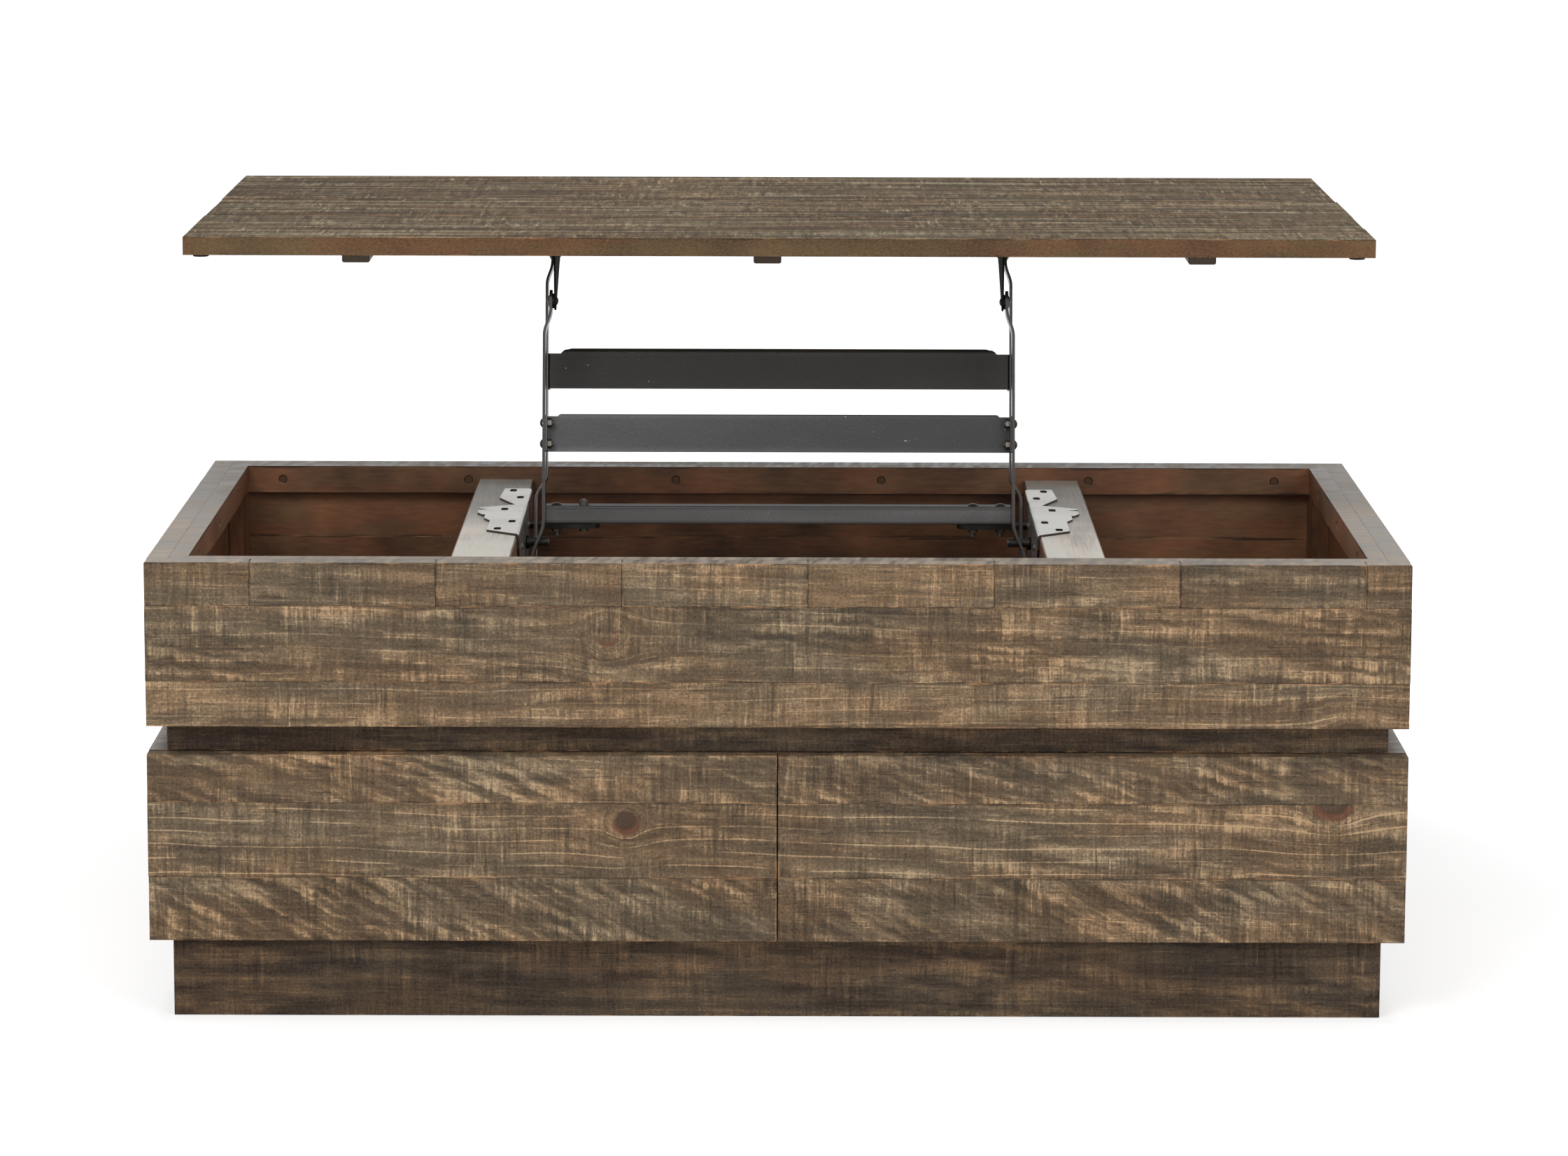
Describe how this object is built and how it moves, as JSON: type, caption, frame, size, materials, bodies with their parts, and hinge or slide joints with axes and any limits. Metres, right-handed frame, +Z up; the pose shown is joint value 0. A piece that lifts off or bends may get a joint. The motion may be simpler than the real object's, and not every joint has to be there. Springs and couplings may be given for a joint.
{
  "type": "lift top coffee table",
  "caption": "Plank coffee table on a plinth with a lid that lifts up and back on a four-bar linkage, a storage well under it and overlay drawers in the lower case.",
  "frame": {"origin": "on the floor under the middle of the case's footprint", "axes": "+Z up, +Y from the drawer fronts towards the back, +X to the right as seen from the front"},
  "size_m": [1.27, 1.1143, 0.7547],
  "materials": {
    "face_wood": "weathered, matt, band-sawn",
    "plinth_wood": "dark stained, matt",
    "inner_wood": "reddish stain, satin",
    "lid_wood": "weathered, matt, band-sawn",
    "drawer_wood": "plain, matt",
    "black_steel": "satin black powder coat",
    "grey_steel": "dull zinc plate",
    "zinc": "bright zinc plate",
    "rubber": "matt"
  },
  "bodies": {
    "case": {"plinth_front": "plinth_wood", "plinth_back": "plinth_wood", "plinth_sides": "plinth_wood", "plinth_cross_rail": "plinth_wood", "lower_bottom": "plinth_wood", "lower_side_left": "face_wood", "lower_side_right": "face_wood", "lower_back": "face_wood", "lower_top": "plinth_wood", "drawer_divider": "drawer_wood", "recess_boards": "plinth_wood", "storage_floor": "inner_wood", "upper_front": "face_wood", "upper_back": "face_wood", "upper_side_left": "face_wood", "upper_side_right": "face_wood", "rim_liner_front": "inner_wood", "rim_liner_back": "inner_wood", "rim_liner_sides": "inner_wood", "corner_battens": "inner_wood", "lift_rail_left": "inner_wood", "lift_rail_right": "inner_wood", "liner_screws": "zinc", "base_bracket_left": "grey_steel", "base_bracket_right": "grey_steel", "bracket_screws": "zinc", "base_bar": "black_steel", "base_bar_bolts": "zinc", "base_bar_nuts": "zinc", "base_pivot_pins": "zinc", "slide_outer": "zinc"},
    "front_arms": {"front_arm_left": "black_steel", "front_arm_right": "black_steel", "front_crossbar": "black_steel", "crossbar_bolts": "black_steel", "crossbar_nuts": "zinc", "stop_pins": "black_steel"},
    "rear_arms": {"rear_arm_left": "black_steel", "rear_arm_right": "black_steel", "rear_crossbar": "black_steel", "crossbar_rivets": "black_steel"},
    "lid": {"lid_top": "lid_wood", "lid_channels": "black_steel", "channel_screws": "zinc", "lid_bracket_left": "black_steel", "lid_bracket_right": "black_steel", "lid_bracket_screws": "zinc", "lid_pivot_pins": "zinc", "lid_bumpers": "rubber"},
    "drawer_left": {"drawer_front_left": "face_wood", "drawer_walls_left": "drawer_wood", "drawer_bottom_left": "drawer_wood", "slide_inner_left": "zinc"},
    "drawer_right": {"drawer_front_right": "face_wood", "drawer_walls_right": "drawer_wood", "drawer_bottom_right": "drawer_wood", "slide_inner_right": "zinc"},
    "slide_middle_left": {"slide_middle_left": "zinc"},
    "slide_middle_right": {"slide_middle_right": "zinc"}
  },
  "joints": [
    {"name": "lid_lift", "type": "hinge", "parent": "case", "child": "front_arms", "pos_m": [0, 0.0465, 0.34661], "axis": [1, 0, 0], "range_deg": [0, 90]},
    {"name": "rear_arm_swing", "type": "hinge", "parent": "case", "child": "rear_arms", "pos_m": [0, 0.1465, 0.38761], "axis": [1, 0, 0], "range_deg": [0, 90]},
    {"name": "lid_level", "type": "hinge", "parent": "front_arms", "child": "lid", "pos_m": [0, 0.11719, 0.67918], "axis": [1, 0, 0], "range_deg": [-90, 0]},
    {"name": "drawer_left_slide", "type": "slide", "parent": "case", "child": "drawer_left", "axis": [0, -1, 0], "range_m": [0, 0.4]},
    {"name": "drawer_right_slide", "type": "slide", "parent": "case", "child": "drawer_right", "axis": [0, -1, 0], "range_m": [0, 0.4]},
    {"name": "middle_left_slide", "type": "slide", "parent": "case", "child": "slide_middle_left", "axis": [0, -1, 0], "range_m": [0, 0.2]},
    {"name": "middle_right_slide", "type": "slide", "parent": "case", "child": "slide_middle_right", "axis": [0, -1, 0], "range_m": [0, 0.2]}
  ],
  "couplings": [
    {"joint": "rear_arm_swing", "follows": "lid_lift", "ratio": 1},
    {"joint": "lid_level", "follows": "lid_lift", "ratio": -1},
    {"joint": "middle_left_slide", "follows": "drawer_left_slide", "ratio": 0.5},
    {"joint": "middle_right_slide", "follows": "drawer_right_slide", "ratio": 0.5}
  ]
}
